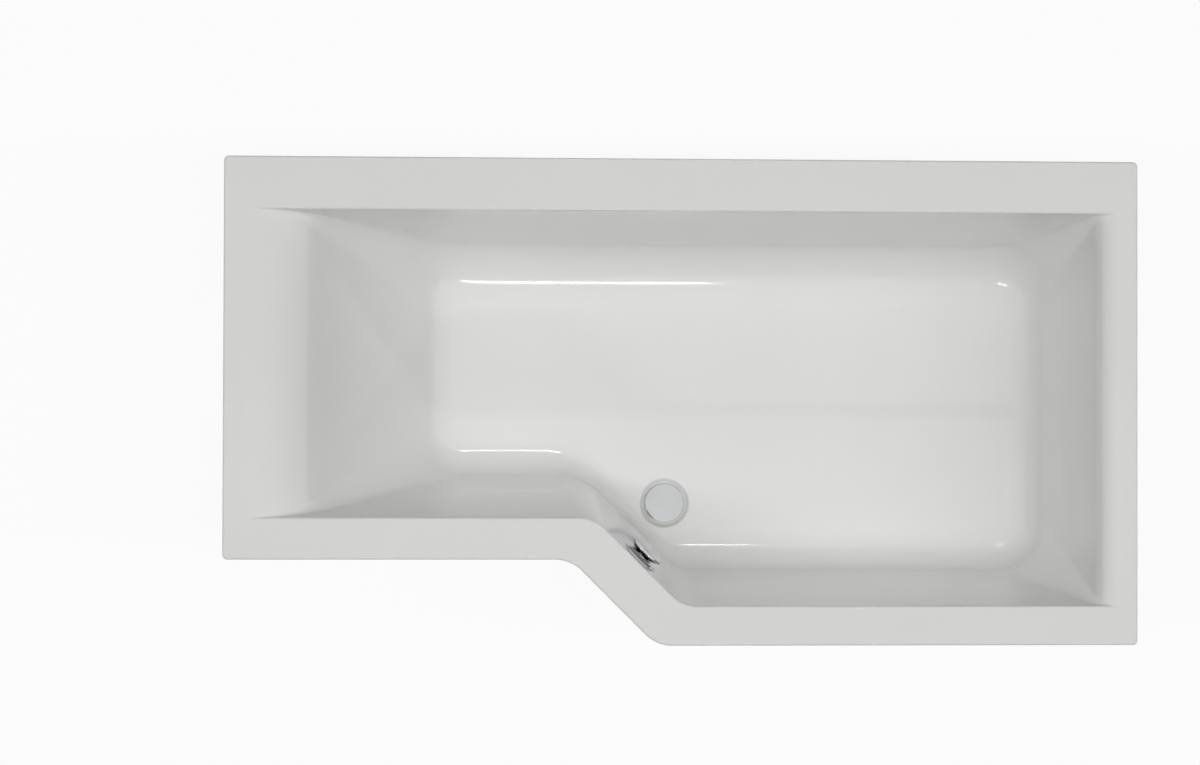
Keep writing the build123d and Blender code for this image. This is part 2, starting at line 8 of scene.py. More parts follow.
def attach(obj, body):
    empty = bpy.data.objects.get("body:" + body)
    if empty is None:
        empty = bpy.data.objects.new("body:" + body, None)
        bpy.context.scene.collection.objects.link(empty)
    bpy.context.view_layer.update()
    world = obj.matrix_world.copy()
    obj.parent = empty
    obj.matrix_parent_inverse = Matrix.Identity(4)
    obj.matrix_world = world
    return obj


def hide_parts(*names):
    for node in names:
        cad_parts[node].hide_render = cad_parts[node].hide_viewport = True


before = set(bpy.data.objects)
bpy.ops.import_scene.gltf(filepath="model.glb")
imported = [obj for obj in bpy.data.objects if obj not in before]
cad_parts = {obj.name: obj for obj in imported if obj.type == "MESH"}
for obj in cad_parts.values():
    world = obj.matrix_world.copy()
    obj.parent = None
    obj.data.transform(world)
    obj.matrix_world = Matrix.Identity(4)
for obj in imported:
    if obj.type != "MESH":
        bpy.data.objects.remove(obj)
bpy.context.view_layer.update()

# The bath itself: one sheet of white acrylic, heated and drawn down over an L-shaped mould, then
# stiffened underneath with sprayed glass fibre. Its corners are sharp where the bowl leaves the
# rim and widen on the way down into the coves round the floor.
bath_length = 1.600
shower_width = 0.850
narrow_width = 0.700
rim_height = 0.550
bowl_depth = 0.400
sheet = 0.005
lip_height = 0.035
rim_corner_radius = 0.009
rim_edge_radius = 0.004
step_corner_radius = 0.060
diagonal_middle_x = -0.122
# Wall side, shower end, wide front, diagonal, narrow front and head end, in metres and degrees.
bowl_sides = [
    dict(rim=0.088, roll=0.004, lean=6.6, cove=0.117),
    dict(rim=0.027, roll=0.040, lean=4.9, cove=0.060),
    dict(rim=0.065, roll=0.004, lean=7.2, cove=0.072),
    dict(rim=0.077, roll=0.004, lean=6.6, cove=0.048),
    dict(rim=0.069, roll=0.004, lean=11.1, cove=0.072),
    dict(rim=0.032, roll=0.150, lean=30.6, cove=0.070),
]
corner_turns = [90, 90, 90, 45, 45, 90]
corner_steps = 14
bowl_steps = 60
rim_edge_steps = 6
level_spacing = 0.05
face_length = 0.0341
holding = 0.0006
sharp_turn = radians(35)
floor_z = rim_height - bowl_depth
narrow_front_y = shower_width / 2 - narrow_width
diagonal_sum = diagonal_middle_x + (narrow_front_y - shower_width / 2) / 2


def plan_corners(insets):
    """Corners of the L after moving each of its six sides in by its own distance."""
    wall, shower, front, diagonal, narrow, head = insets
    back_y = shower_width / 2 - wall
    right_x = bath_length / 2 - shower
    front_y = -shower_width / 2 + front
    narrow_y = narrow_front_y + narrow
    left_x = -bath_length / 2 + head
    diagonal_line = diagonal_sum + sqrt(2) * diagonal
    return [
        (left_x, back_y),
        (right_x, back_y),
        (right_x, front_y),
        (diagonal_line - front_y, front_y),
        (diagonal_line - narrow_y, narrow_y),
        (left_x, narrow_y),
    ]


def wall_inset(side, depth, skin):
    """How far in from the outer edge a bowl wall stands at one depth, on either face of the sheet."""
    lean = radians(side["lean"])
    roll_end = side["roll"] * (1 - sin(lean))
    cove_centre = bowl_depth - side["cove"]
    wall_top = side["roll"] * cos(lean)
    wall_foot = wall_top + (cove_centre + side["cove"] * sin(lean) - roll_end) * tan(lean)
    floor_edge = wall_foot + side["cove"] * cos(lean)
    cove = side["cove"] + skin
    roll = side["roll"] - skin
    if depth >= cove_centre + cove * sin(lean):
        reach = floor_edge - sqrt(max(cove**2 - (depth - cove_centre) ** 2, 0))
    elif roll > 0 and depth <= side["roll"] - roll * sin(lean):
        reach = sqrt(max(roll**2 - (side["roll"] - depth) ** 2, 0))
    else:
        reach = wall_top + (depth - roll_end) * tan(lean) - skin / cos(lean)
    return side["rim"] + reach


def bowl_radii(depth, skin):
    """Corner radii at one depth: tight at the rim, wide low down."""
    low = (depth - skin) / bowl_depth
    square = 0.005 + 0.120 * low - 0.070 * low**8 + skin
    shallow = 0.060 + 0.040 * low - 0.050 * low**8 + skin
    inward = 0.060 + 0.050 * low + 0.060 * low**8 - skin
    return [square, square, square, shallow, inward, square]


def rim_radii(inset):
    """Corner radii of the bath's outer edge after moving it in."""
    corner = rim_corner_radius - inset
    return [corner] * 3 + [step_corner_radius - inset, step_corner_radius + inset, corner]


def rounded_loop(mesh, insets, radii, height):
    """One level outline of the L: six corners joined by a face, each then bevelled round."""
    known = set(mesh.edges)
    corners = [mesh.verts.new((x, y, height)) for x, y in plan_corners(insets)]
    mesh.faces.new(corners)
    for corner, radius, turn in zip(corners, radii, corner_turns):
        bmesh.ops.bevel(
            mesh,
            geom=[corner],
            offset=radius * tan(radians(turn) / 2),
            offset_type="OFFSET",
            segments=corner_steps,
            profile=0.5,
            affect="VERTICES",
            material=-1,
            clamp_overlap=False,
        )
    edges = [edge for edge in mesh.edges if edge not in known]
    return edges, edges[0].link_faces[0]


def bowl_levels(skin):
    """Insets, corner radii and height of each level of the bowl, from the rim down."""
    levels = []
    for step in range(bowl_steps + 1):
        depth = skin + bowl_depth * (1 - cos(pi * step / bowl_steps)) / 2
        insets = [wall_inset(side, depth, skin) for side in bowl_sides]
        levels.append((insets, bowl_radii(depth, skin), rim_height - depth))
    insets, radii, height = levels[-1]
    levels.append(([inset + holding for inset in insets], radii, height))
    return levels


def add_piece(name, mesh, body, *replaced):
    """Object at the origin from a finished bmesh, riding on a body in place of its CAD nodes."""
    data = bpy.data.meshes.new(name)
    mesh.to_mesh(data)
    mesh.free()
    piece = bpy.data.objects.new(name, data)
    bpy.context.scene.collection.objects.link(piece)
    smooth(piece)
    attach(piece, body)
    if replaced:
        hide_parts(*replaced)
    return piece


def smooth(piece, angle=32):
    """Smooth shading, kept sharp at the edges that turn more than the angle."""
    for face in piece.data.polygons:
        face.use_smooth = True
    piece.data.set_sharp_from_angle(angle=radians(angle))


def turned(profile, place=Matrix(), steps=96, edge=0.0):
    """Closed lathe-turned shape from (radius, height) points, its sharp edges eased by a bevel."""
    mesh = bmesh.new()
    points = [mesh.verts.new((radius, 0, height)) for radius, height in profile]
    edges = [mesh.edges.new(pair) for pair in zip(points, points[1:])]
    if profile[0][0] > 0:
        edges.append(mesh.edges.new((points[-1], points[0])))
    bmesh.ops.spin(
        mesh,
        geom=points + edges,
        cent=(0, 0, 0),
        axis=(0, 0, 1),
        angle=2 * pi,
        steps=steps,
        use_merge=True,
    )
    bmesh.ops.remove_doubles(mesh, verts=mesh.verts, dist=1e-6)
    bmesh.ops.recalc_face_normals(mesh, faces=mesh.faces)
    if edge > 0:
        sharp = [line for line in mesh.edges if line.calc_face_angle(0) > sharp_turn]
        bmesh.ops.bevel(
            mesh, geom=sharp, offset=edge, segments=3, profile=0.5, affect="EDGES", material=-1
        )
    bmesh.ops.transform(mesh, matrix=place, verts=mesh.verts)
    return mesh


def cylinder_profile(radius, low, high):
    """Points for turned that make a plain cylinder from one height to another."""
    return [(0, low), (radius, low), (radius, high), (0, high)]


def cut(piece, mesh, operation):
    """Joins a mesh to a piece, takes it away, or keeps only what the two share."""
    data = bpy.data.meshes.new("cutter")
    mesh.to_mesh(data)
    mesh.free()
    cutter = bpy.data.objects.new("cutter", data)
    for slot in piece.data.materials:
        data.materials.append(slot)
    bpy.context.scene.collection.objects.link(cutter)
    modifier = piece.modifiers.new("cut", "BOOLEAN")
    modifier.operation = operation
    modifier.object = cutter
    modifier.solver = "EXACT"
    result = bpy.data.meshes.new_from_object(piece.evaluated_get(bpy.context.evaluated_depsgraph_get()))
    piece.modifiers.clear()
    piece.data = result
    bpy.data.objects.remove(cutter)


def new_material(name, **constants):
    """Material with one Principled shader, its plain values set on the shader itself."""
    material = bpy.data.materials.new(name)
    material.use_nodes = True
    shader = material.node_tree.nodes["Principled BSDF"]
    for socket, value in constants.items():
        shader.inputs[socket.replace("_", " ")].default_value = value
    return material, material.node_tree, shader


def add_node(tree, kind, links=None, **settings):
    """Shader node with its own settings; links gives its inputs as values or as other sockets."""
    node = tree.nodes.new(kind)
    for key, value in settings.items():
        setattr(node, key, value)
    for key, value in (links or {}).items():
        if isinstance(value, bpy.types.NodeSocket):
            tree.links.new(value, node.inputs[key])
        else:
            node.inputs[key].default_value = value
    return node


def object_place(tree):
    """Object coordinates, in metres in the bath's own frame."""
    return add_node(tree, "ShaderNodeTexCoord").outputs["Object"]


def noise(tree, place, scale, detail=3.0, roughness=0.5):
    """Noise of one size, as a value from 0 to 1."""
    links = {"Vector": place, "Scale": scale, "Detail": detail, "Roughness": roughness}
    return add_node(tree, "ShaderNodeTexNoise", links).outputs["Fac"]


def between(tree, value, low, high, from_low=0.3, from_high=0.7):
    """A value spread over a new range."""
    links = {"Value": value, "From Min": from_low, "From Max": from_high, "To Min": low, "To Max": high}
    return add_node(tree, "ShaderNodeMapRange", links).outputs["Result"]


def two_colours(tree, value, low, high):
    """Colour between two colours."""
    ramp = add_node(tree, "ShaderNodeValToRGB", {"Fac": value})
    ramp.color_ramp.elements[0].color = (*low, 1)
    ramp.color_ramp.elements[1].color = (*high, 1)
    return ramp.outputs["Color"]


def relief(tree, shader, height, distance, strength=1.0):
    """Bump of a height map on a shader, its depth in metres."""
    links = {"Height": height, "Distance": distance, "Strength": strength}
    bump = add_node(tree, "ShaderNodeBump", links)
    tree.links.new(bump.outputs["Normal"], shader.inputs["Normal"])


def make_uneven_surface():
    """Node group: a slow drift of colour, a finer change of sheen, and the skin for a bump."""
    group = bpy.data.node_groups.new("uneven_surface", "ShaderNodeTree")
    sockets = [
        ("Low Colour", "NodeSocketColor", "INPUT"),
        ("High Colour", "NodeSocketColor", "INPUT"),
        ("Low Roughness", "NodeSocketFloat", "INPUT"),
        ("High Roughness", "NodeSocketFloat", "INPUT"),
        ("Stretch", "NodeSocketVector", "INPUT"),
        ("Drift Scale", "NodeSocketFloat", "INPUT"),
        ("Skin Scale", "NodeSocketFloat", "INPUT"),
        ("Colour", "NodeSocketColor", "OUTPUT"),
        ("Roughness", "NodeSocketFloat", "OUTPUT"),
        ("Skin", "NodeSocketFloat", "OUTPUT"),
    ]
    for name, kind, side in sockets:
        group.interface.new_socket(name, in_out=side, socket_type=kind)
    given = add_node(group, "NodeGroupInput").outputs
    links = {0: object_place(group), 1: given["Stretch"]}
    place = add_node(group, "ShaderNodeVectorMath", links, operation="MULTIPLY").outputs["Vector"]
    drift = between(group, noise(group, place, given["Drift Scale"]), 0.0, 1.0)
    skin = noise(group, place, given["Skin Scale"], 4.0, 0.6)
    links = {0: drift, 6: given["Low Colour"], 7: given["High Colour"]}
    colour = add_node(group, "ShaderNodeMix", links, data_type="RGBA").outputs[2]
    sheen = between(group, skin, given["Low Roughness"], given["High Roughness"])
    add_node(group, "NodeGroupOutput", {"Colour": colour, "Roughness": sheen, "Skin": skin})
    return group


uneven_surface = make_uneven_surface()


def uneven(
    name, low, high, roughness, drift=45.0, skin=900.0, grain=0.00004, stretch=(1, 1, 1), **constants
):
    """Material on the uneven surface group: two colours, two roughnesses, the depth of its skin."""
    material, tree, shader = new_material(name, **constants)
    values = {
        "Low Colour": (*low, 1),
        "High Colour": (*high, 1),
        "Low Roughness": roughness[0],
        "High Roughness": roughness[1],
        "Stretch": stretch,
        "Drift Scale": drift,
        "Skin Scale": skin,
    }
    surface = add_node(tree, "ShaderNodeGroup", values, node_tree=uneven_surface)
    tree.links.new(surface.outputs["Colour"], shader.inputs["Base Color"])
    tree.links.new(surface.outputs["Roughness"], shader.inputs["Roughness"])
    relief(tree, shader, surface.outputs["Skin"], grain)
    return material


acrylic = uneven(
    "white_acrylic",
    (0.832, 0.835, 0.823),
    (0.846, 0.848, 0.837),
    (0.085, 0.125),
    drift=3.5,
    skin=14.0,
    grain=0.00003,
    IOR=1.49,
    Coat_Weight=0.35,
    Coat_Roughness=0.02,
)

fibreglass, tree, shader = new_material("glass_fibre_laminate", Coat_Weight=0.15, Coat_Roughness=0.25)
place = object_place(tree)
strands = []
for stretch, turn in [((260, 34, 260), 0.6), ((34, 260, 260), -0.3)]:
    links = {"Vector": place, "Scale": stretch, "Rotation": (0, 0, turn)}
    mapped = add_node(tree, "ShaderNodeMapping", links)
    strands.append(noise(tree, mapped.outputs["Vector"], 1.0, 2))
mat_fibres = add_node(
    tree, "ShaderNodeMath", {0: strands[0], 1: strands[1]}, operation="MAXIMUM"
).outputs["Value"]
tree.links.new(
    two_colours(tree, mat_fibres, (0.52, 0.50, 0.43), (0.74, 0.73, 0.67)), shader.inputs["Base Color"]
)
tree.links.new(between(tree, mat_fibres, 0.62, 0.38), shader.inputs["Roughness"])
relief(tree, shader, mat_fibres, 0.0006)

waste_centre = Vector((-0.006, -0.192, 0))
waste_place = Matrix.Translation(waste_centre)
recess_z = floor_z - 0.006
recess_flat = 0.0402
recess_edge = 0.0485
recess_cell = 0.002
recess_cells = 25
recess_top = 0.17
patch_radius = 0.085
patch_top = 0.18
face_margin = 0.0007
waste_hole_radius = 0.0245
overflow_hole_radius = 0.026
overflow_x = -0.074
overflow_lean = radians(bowl_sides[3]["lean"])
overflow_depth = 0.062
overflow_line = diagonal_sum + sqrt(2) * wall_inset(bowl_sides[3], overflow_depth, 0)
overflow_out = Vector((cos(overflow_lean) / sqrt(2), cos(overflow_lean) / sqrt(2), sin(overflow_lean)))
overflow_across = Vector((1, -1, 0)).normalized()
overflow_along = overflow_out.cross(overflow_across)
overflow_place = Matrix((overflow_across, overflow_along, overflow_out)).transposed().to_4x4()
overflow_place.translation = (overflow_x, overflow_line - overflow_x, rim_height - overflow_depth)

underside = bowl_levels(sheet)[::-1]
underside += [([sheet] * 6, rim_radii(sheet), rim_height - sheet)]
underside += [([sheet] * 6, rim_radii(sheet), rim_height - lip_height)]
visible = [([0.0] * 6, rim_radii(0), rim_height - lip_height)]
visible += [([0.0] * 6, rim_radii(0), rim_height - rim_edge_radius - holding)]
for step in range(rim_edge_steps + 1):
    turn = pi / 2 * step / rim_edge_steps
    inset = rim_edge_radius * (1 - cos(turn))
    visible.append(([inset] * 6, rim_radii(inset), rim_height - rim_edge_radius * (1 - sin(turn))))
visible.append(([rim_edge_radius + holding] * 6, rim_radii(rim_edge_radius), rim_height))
visible.append(([side["rim"] - holding for side in bowl_sides], bowl_radii(0, 0), rim_height))
visible += bowl_levels(0)

# The outlines are bridged while they stand well apart, then moved to their own heights.
levels = underside + visible
shell_mesh = bmesh.new()
loops = []
for index, (insets, radii, _) in enumerate(levels):
    loops.append(rounded_loop(shell_mesh, insets, radii, index * level_spacing))
bmesh.ops.delete(shell_mesh, geom=[face for _, face in loops[1:-1]], context="FACES_ONLY")
loops[0][1].material_index = 1
for index, (before, after) in enumerate(zip(loops, loops[1:])):
    bridge = bmesh.ops.bridge_loops(shell_mesh, edges=before[0] + after[0])
    for face in bridge["faces"]:
        face.material_index = int(index < len(underside) - 1)
for (edges, _), (_, _, height) in zip(loops, levels):
    for corner in {end for edge in edges for end in edge.verts}:
        corner.co.z = height
bmesh.ops.recalc_face_normals(shell_mesh, faces=shell_mesh.faces)

# Long faces bend the reflections in the coves, so the sheet is divided both ways.
for axis, reach in [(0, bath_length / 2), (1, shower_width / 2)]:
    across = Vector((1 - axis, axis, 0))
    for step in range(1, int(2 * reach / face_length)):
        everything = shell_mesh.verts[:] + shell_mesh.edges[:] + shell_mesh.faces[:]
        start = across * (step * face_length - reach)
        bmesh.ops.bisect_plane(shell_mesh, geom=everything, dist=1e-5, plane_co=start, plane_no=across)

# The waste recess is pressed into a finer patch of both faces of the sheet, with an eased edge.
recess_patch = []
for face in shell_mesh.faces:
    middle = face.calc_center_median()
    if middle.z < patch_top and (middle - waste_centre).xy.length < patch_radius:
        recess_patch += [face, *face.edges, *face.verts]
recess_patch = list(dict.fromkeys(recess_patch))
for across in [Vector((1, 0, 0)), Vector((0, 1, 0))]:
    for step in range(-recess_cells, recess_cells + 1):
        start = waste_centre + across * step * recess_cell
        recess_patch = bmesh.ops.bisect_plane(
            shell_mesh, geom=recess_patch, dist=1e-6, plane_co=start, plane_no=across
        )["geom"]
for point in shell_mesh.verts:
    reach = (point.co - waste_centre).xy.length
    if reach < recess_edge and point.co.z < recess_top:
        seat = recess_z if point.co.z > floor_z - face_margin else recess_z - sheet
        fall = min((recess_edge - reach) / (recess_edge - recess_flat), 1)
        point.co.z += (seat - point.co.z) * fall**2 * (3 - 2 * fall)
shell = add_piece("acrylic_shell", shell_mesh, "bath", "bath_shell")
shell.data.materials.append(acrylic)
shell.data.materials.append(fibreglass)

waste_hole = cylinder_profile(waste_hole_radius, low=0.13, high=0.16)
overflow_hole = cylinder_profile(overflow_hole_radius, low=-0.01, high=0.005)
cut(shell, turned(waste_hole, waste_place), "DIFFERENCE")
cut(shell, turned(overflow_hole, overflow_place), "DIFFERENCE")
shell_mesh = bmesh.new()
shell_mesh.from_mesh(shell.data)
bmesh.ops.remove_doubles(shell_mesh, verts=shell_mesh.verts, dist=2e-5)
bmesh.ops.dissolve_degenerate(shell_mesh, edges=shell_mesh.edges, dist=1e-5)
shell_mesh.to_mesh(shell.data)
shell_mesh.free()
smooth(shell, angle=28)

# Baseboard and battens: a chipboard panel under the floor of the bowl and planed softwood battens
# along three of the rims, bedded in the glass fibre so that the legs and brackets can be screwed on.


def dress(material, *names):
    """Gives CAD nodes their finish."""
    for name in names:
        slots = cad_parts[name].data.materials
        slots.clear()
        slots.append(material)


chipboard, tree, shader = new_material("chipboard")
place = object_place(tree)
flat = add_node(tree, "ShaderNodeMapping", {"Vector": place, "Scale": (190, 330, 900)})
chips = add_node(tree, "ShaderNodeTexVoronoi", {"Vector": flat.outputs["Vector"], "Scale": 1.0})
chip_tone = add_node(tree, "ShaderNodeSeparateColor", {"Color": chips.outputs["Color"]})
fine_chips = noise(tree, place, 1400, 4, 0.65)
links = {0: chip_tone.outputs["Red"], 1: fine_chips}
chip_mix = add_node(tree, "ShaderNodeMath", links, operation="MULTIPLY").outputs[0]
chip_share = between(tree, chip_mix, 0, 1, 0.05, 0.5)
tree.links.new(
    two_colours(tree, chip_share, (0.40, 0.28, 0.155), (0.74, 0.58, 0.38)), shader.inputs["Base Color"]
)
tree.links.new(between(tree, fine_chips, 0.72, 0.88), shader.inputs["Roughness"])
relief(tree, shader, chip_mix, 0.0005)
dress(chipboard, "baseboard")

timber = uneven(
    "softwood",
    (0.46, 0.29, 0.14),
    (0.72, 0.54, 0.33),
    (0.55, 0.70),
    drift=1.6,
    skin=16.0,
    grain=0.00035,
    stretch=(1, 39, 24),
)
dress(timber, "rim_batten_wall", "rim_batten_narrow_front", "rim_batten_wide_front")

# Leg frame: three galvanised steel channels screwed up into the baseboard, each carrying two
# threaded studs held by pairs of plated nuts; a moulded foot turns on each stud to level the bath.
zinc, tree, shader = new_material("galvanised_steel", Metallic=1.0)
place = object_place(tree)
spangle = add_node(tree, "ShaderNodeTexVoronoi", {"Vector": place, "Scale": 105.0})
channels = add_node(tree, "ShaderNodeSeparateColor", {"Color": spangle.outputs["Color"]})
spangle_tone = channels.outputs["Green"]
tree.links.new(
    two_colours(tree, spangle_tone, (0.50, 0.52, 0.535), (0.66, 0.68, 0.69)), shader.inputs["Base Color"]
)
tree.links.new(between(tree, spangle_tone, 0.30, 0.46, 0, 1), shader.inputs["Roughness"])
relief(tree, shader, noise(tree, place, 520, 4), 0.00004)
dress(zinc, "leg_rail_head", "leg_rail_centre", "leg_rail_shower")


def plated_steel(name):
    """Bright zinc plating."""
    return uneven(
        name,
        (0.55, 0.56, 0.57),
        (0.67, 0.67, 0.64),
        (0.20, 0.36),
        drift=160.0,
        skin=700.0,
        grain=0.00003,
        Metallic=1.0,
    )


bright_zinc = plated_steel("bright_zinc")
threaded_zinc = plated_steel("threaded_zinc")
thread_pitch = 0.0015
wave_turns_per_scale = 20
tree = threaded_zinc.node_tree
turns = add_node(
    tree,
    "ShaderNodeTexWave",
    {"Vector": object_place(tree), "Scale": 2 * pi / wave_turns_per_scale / thread_pitch},
    bands_direction="Z",
)
relief(tree, tree.nodes["Principled BSDF"], turns.outputs["Fac"], 0.0007)
dress(threaded_zinc, *[f"foot_stud_{number}" for number in range(1, 7)])


def small_part(mesh, *cutters):
    """Mesh of a small repeated part: a solid, with each cutter's operation done on it in turn."""
    data = bpy.data.meshes.new("small_part")
    mesh.to_mesh(data)
    mesh.free()
    part = bpy.data.objects.new("small_part", data)
    bpy.context.scene.collection.objects.link(part)
    for cutter, operation in cutters:
        cut(part, cutter, operation)
    data = part.data
    bpy.data.objects.remove(part)
    return data


def repeated(name, data, places, body, *replaced):
    """One object made of a small part set at each of several places."""
    mesh = bmesh.new()
    for place in places:
        known = len(mesh.verts)
        mesh.from_mesh(data)
        mesh.verts.ensure_lookup_table()
        bmesh.ops.transform(mesh, matrix=place, verts=mesh.verts[known:])
    return add_piece(name, mesh, body, *replaced)


def hexagon(flats, low, high):
    """Six-sided bar across Z from one height to another."""
    mesh = bmesh.new()
    corner = flats / 2 / cos(pi / 6)
    bmesh.ops.create_cone(
        mesh, cap_ends=True, segments=6, radius1=corner, radius2=corner, depth=high - low
    )
    bmesh.ops.translate(mesh, vec=(0, 0, (low + high) / 2), verts=mesh.verts)
    return mesh


def slot_cutter(length, top, turn, width=0.0011, thickness=0.0034):
    """Narrow bar that cuts one arm of a screw's cross recess."""
    mesh = bmesh.new()
    bmesh.ops.create_cube(mesh, size=1)
    bmesh.ops.scale(mesh, vec=(length, width, thickness), verts=mesh.verts)
    bmesh.ops.rotate(mesh, matrix=Matrix.Rotation(turn, 3, "Z"), verts=mesh.verts)
    bmesh.ops.translate(mesh, vec=(0, 0, top), verts=mesh.verts)
    return mesh


def pan_screw(head_radius, head_height, shank_radius, length):
    """Pan-head screw with a cross recess: head below the origin, shank up along Z."""
    profile = [
        (0, -head_height),
        (0.55 * head_radius, -head_height),
        (0.86 * head_radius, -0.72 * head_height),
        (head_radius, -0.35 * head_height),
        (head_radius, -0.05 * head_height),
        (0.97 * head_radius, 0),
        (shank_radius, 0),
        (shank_radius, length - 0.003),
        (0, length),
    ]
    arm_length = 1.15 * head_radius
    arms = [slot_cutter(arm_length, -head_height, turn) for turn in [0, pi / 2]]
    return small_part(turned(profile, steps=32), *[(arm, "DIFFERENCE") for arm in arms])


board_bottom = 0.127
rail_steel = 0.002
rail_screw_rows = [
    (-0.300, [-0.035, 0.055, 0.145]),
    (0.170, [-0.205, -0.030, 0.145]),
    (0.560, [-0.205, -0.030, 0.145]),
]
rail_screw_places = [
    Matrix.Translation((x, y, board_bottom - rail_steel)) for x, row in rail_screw_rows for y in row
]
rail_screw = pan_screw(head_radius=0.0045, head_height=0.003, shank_radius=0.002, length=0.016)
screws = repeated("leg_rail_screws", rail_screw, rail_screw_places, "bath")
screws.data.materials.append(bright_zinc)

foot_points = [
    (-0.300, -0.150),
    (-0.300, 0.290),
    (0.170, -0.325),
    (0.170, 0.290),
    (0.560, -0.325),
    (0.560, 0.290),
]
stud_radius = 0.005
nut_height = 0.008
nut_flats = 0.017
nut_face_radius = 0.0082
nut_corner_radius = 0.0101
nut_chamfer = 0.0011
nut_profile = [
    (0, 0),
    (nut_face_radius, 0),
    (nut_corner_radius, nut_chamfer),
    (nut_corner_radius, nut_height - nut_chamfer),
    (nut_face_radius, nut_height),
    (0, nut_height),
]
nut_bore = cylinder_profile(stud_radius, low=-0.001, high=nut_height + 0.001)
nut = small_part(
    hexagon(nut_flats, 0, nut_height),
    (turned(nut_profile), "INTERSECT"),
    (turned(nut_bore, steps=48), "DIFFERENCE"),
)
nut_places = [
    Matrix.Translation((x, y, z))
    for x, y in foot_points
    for z in [board_bottom - rail_steel - nut_height, board_bottom]
]
nuts = repeated("leg_lock_nuts_chamfered", nut, nut_places, "bath", "leg_lock_nuts")
nuts.data.materials.append(bright_zinc)

black_plastic = uneven(
    "black_plastic",
    (0.018, 0.018, 0.019),
    (0.028, 0.028, 0.029),
    (0.42, 0.58),
    drift=60.0,
    skin=1200.0,
    grain=0.00005,
)
pad_profile = [
    (0, 0.0012),
    (0.0185, 0.0012),
    (0.0195, 0),
    (0.0238, 0),
    (0.025, 0.0010),
    (0.025, 0.0032),
    (0.0243, 0.0042),
    (0.0185, 0.0072),
    (0.0150, 0.0092),
    (0.0128, 0.0104),
    (0, 0.0104),
]
neck_flats = 0.019
neck_low = 0.006
neck_high = 0.024
neck_profile = [
    (0, neck_low),
    (0.012, neck_low),
    (0.012, neck_high - 0.0012),
    (0.0098, neck_high),
    (0, neck_high),
]
pad_bore = cylinder_profile(stud_radius, low=0.0075, high=0.03)
neck = small_part(hexagon(neck_flats, neck_low, neck_high), (turned(neck_profile), "INTERSECT"))
neck_mesh = bmesh.new()
neck_mesh.from_mesh(neck)
pad = small_part(
    turned(pad_profile, steps=64, edge=0.0002),
    (neck_mesh, "UNION"),
    (turned(pad_bore, steps=48), "DIFFERENCE"),
)
for number, (x, y) in enumerate(foot_points, start=1):
    foot_place = [Matrix.Translation((x, y, 0))]
    foot = repeated(
        f"foot_pad_moulded_{number}", pad, foot_place, f"foot_{number}", f"foot_pad_{number}"
    )
    foot.data.materials.append(black_plastic)

# Wall brackets: bent galvanised steel angles, screwed up into the batten beside the wall, that
# hold the edge of the bath to it.
dress(zinc, "wall_bracket_head", "wall_bracket_shower")
bracket_seat_z = 0.5275
bracket_screw_places = [
    Matrix.Translation((x, y, bracket_seat_z)) for x in [-0.450, 0.450] for y in [0.366, 0.392]
]
bracket_screw = pan_screw(head_radius=0.0045, head_height=0.003, shank_radius=0.002, length=0.012)
bracket_screws = repeated("wall_bracket_screws", bracket_screw, bracket_screw_places, "bath")
bracket_screws.data.materials.append(bright_zinc)

# Waste and pop-up plug: the flange is cast brass and the plug's cap is spun brass, both chrome
# plated; the flange is drawn down on its seal by the plastic body and the cap rides on its stem.
chrome = uneven(
    "chrome",
    (0.545, 0.552, 0.556),
    (0.575, 0.582, 0.588),
    (0.045, 0.085),
    drift=30.0,
    skin=420.0,
    grain=0.000004,
    Metallic=1.0,
)
dress(chrome, "waste_flange", "overflow_rosette")

cap_z = 0.148
cap_top = cap_z + 0.0032
cap_profile = [
    (0, 0.1425),
    (0.007, 0.1425),
    (0.007, cap_z),
    (0.0364, cap_z),
    (0.0374, cap_z + 0.0007),
    (0.0374, cap_top - 0.0012),
    (0.0366, cap_top - 0.0005),
    (0.034, cap_top - 0.0002),
    (0, cap_top),
]
cap = add_piece("plug_cap_spun", turned(cap_profile, waste_place, steps=128), "plug", "plug_cap")
cap.data.materials.append(chrome)


def drawn_metal(name, low, high, roughness):
    """Turned or drawn bar, with fine lines along it."""
    return uneven(
        name,
        low,
        high,
        roughness,
        drift=60.0,
        skin=90.0,
        grain=0.00002,
        stretch=(25, 25, 1),
        Metallic=1.0,
        Anisotropic=0.3,
    )


rubber = uneven(
    "black_rubber",
    (0.012, 0.012, 0.013),
    (0.022, 0.022, 0.022),
    (0.55, 0.72),
    skin=700.0,
    grain=0.00006,
)
white_plastic = uneven("white_plastic", (0.76, 0.765, 0.755), (0.80, 0.80, 0.795), (0.30, 0.42))
stainless = drawn_metal("stainless_steel", (0.52, 0.52, 0.51), (0.62, 0.62, 0.61), (0.22, 0.36))
dress(rubber, "flange_seal", "waste_seal", "plug_seal", "overflow_gasket")
dress(white_plastic, "waste_body", "overflow_body", "cable_drum", "hose_nut_upper", "hose_nut_lower")
dress(stainless, "plug_stem", "lift_lever", "lever_pin")

# Overflow and its control: a chromed plastic rosette is screwed through the wall to the body
# behind it, and the chromed knob in front turns on a spindle to work the plug.
knob_profile = [
    (0, 0.0095),
    (0.025, 0.0095),
    (0.0265, 0.0105),
    (0.035, 0.016),
    (0.035, 0.020),
    (0.031, 0.020),
    (0.028, 0.019),
    (0, 0.019),
]
knob_mesh = turned(knob_profile, overflow_place, steps=128, edge=0.0006)
knob = add_piece("overflow_knob_turned", knob_mesh, "control_knob", "overflow_knob")
knob.data.materials.append(chrome)
plated_brass = drawn_metal(
    "nickel_plated_brass", (0.56, 0.54, 0.49), (0.66, 0.64, 0.59), (0.18, 0.30)
)
dress(plated_brass, "knob_spindle")

